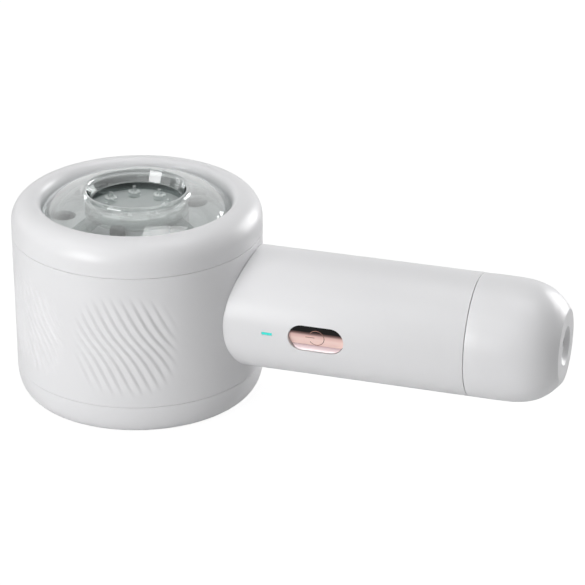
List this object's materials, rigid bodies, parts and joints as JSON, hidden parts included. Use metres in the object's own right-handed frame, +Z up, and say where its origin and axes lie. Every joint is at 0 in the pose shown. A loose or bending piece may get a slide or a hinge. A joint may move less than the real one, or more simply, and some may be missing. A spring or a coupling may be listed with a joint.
{
  "type": "fabric shaver",
  "caption": "Cordless fabric shaver: round shaving head with a lift-off clear lint cup and foil ring, and a horizontal tube handle with a side power button.",
  "frame": {"origin": "centre of the shaving foil, flush with the base that the shaver stands on", "axes": "+X along the handle towards its tail, +Z up the head's axis through the lint cup, -Y towards the power button"},
  "size_m": [0.18, 0.08, 0.0677],
  "materials": {
    "white_shell": "satin moulded ABS",
    "clear_plastic": "polished clear polycarbonate",
    "smoked_plastic": "polished smoked polycarbonate",
    "grey_plastic": "moulded",
    "rose_metal": "anodised, brushed",
    "light_lens": "diffusing",
    "steel": "bright",
    "bronze": "sintered",
    "nickel": "plated",
    "iron": "dull",
    "copper": "turned",
    "rubber": "matt",
    "board_green": "solder mask",
    "black_plastic": "moulded",
    "cell_wrap": "shrink wrap"
  },
  "bodies": {
    "housing": {"head_shell": "white_shell", "motor_deck": "grey_plastic", "deck_screws": "steel", "motor_can": "steel", "motor_end_cap": "grey_plastic", "motor_bearing": "bronze", "motor_damper": "rubber", "motor_magnets": "iron", "motor_terminals": "nickel", "handle_tube": "white_shell", "handle_collar": "grey_plastic", "collar_nut": "grey_plastic", "battery_cell": "cell_wrap", "battery_tabs": "nickel", "battery_carrier": "grey_plastic", "circuit_board": "board_green", "board_screws": "steel", "power_switch": "black_plastic", "status_led": "light_lens", "light_pipe": "light_lens", "tail_cap": "white_shell", "charge_port": "steel", "charge_port_tongue": "black_plastic", "port_board": "board_green", "tail_seal": "rubber"},
    "rotor": {"motor_shaft": "steel", "motor_armature": "iron", "motor_commutator": "copper", "drive_hub": "grey_plastic", "cutter_screw": "steel", "blade_spring": "steel"},
    "cutter": {"blade_hub": "grey_plastic", "cutter_blades": "steel"},
    "foil_ring": {"foil_lock_ring": "white_shell", "foil_frame": "grey_plastic", "foil_mesh": "steel"},
    "lint_cup": {"cup_rim": "white_shell", "cup_dome": "clear_plastic", "cup_floor": "smoked_plastic", "cup_spider": "clear_plastic", "vent_posts": "clear_plastic", "cup_tray": "grey_plastic", "cup_screws": "steel", "cup_seal": "rubber"},
    "button": {"power_button": "rose_metal", "switch_plunger": "black_plastic"}
  },
  "joints": [
    {"name": "cup_lift", "type": "slide", "parent": "housing", "child": "lint_cup", "axis": [0, 0, 1], "range_m": [0, 0.045]},
    {"name": "motor_spin", "type": "hinge", "parent": "housing", "child": "rotor", "pos_m": [0, 0, 0.0099], "axis": [0, 0, 1], "continuous": true},
    {"name": "cutter_float", "type": "slide", "parent": "rotor", "child": "cutter", "axis": [0, 0, 1], "range_m": [0, 0.0008], "stiffness_N_per_m": 200, "springref_m": -0.002, "deforming": ["blade_spring"]},
    {"name": "foil_ring_twist", "type": "hinge", "parent": "housing", "child": "foil_ring", "pos_m": [0, 0, 0.0097], "axis": [0, 0, 1], "range_deg": [0, 20]},
    {"name": "power_press", "type": "slide", "parent": "housing", "child": "button", "axis": [0, 1, 0], "range_m": [0, 0.0005], "stiffness_N_per_m": 1500, "springref_m": -0.0003}
  ]
}
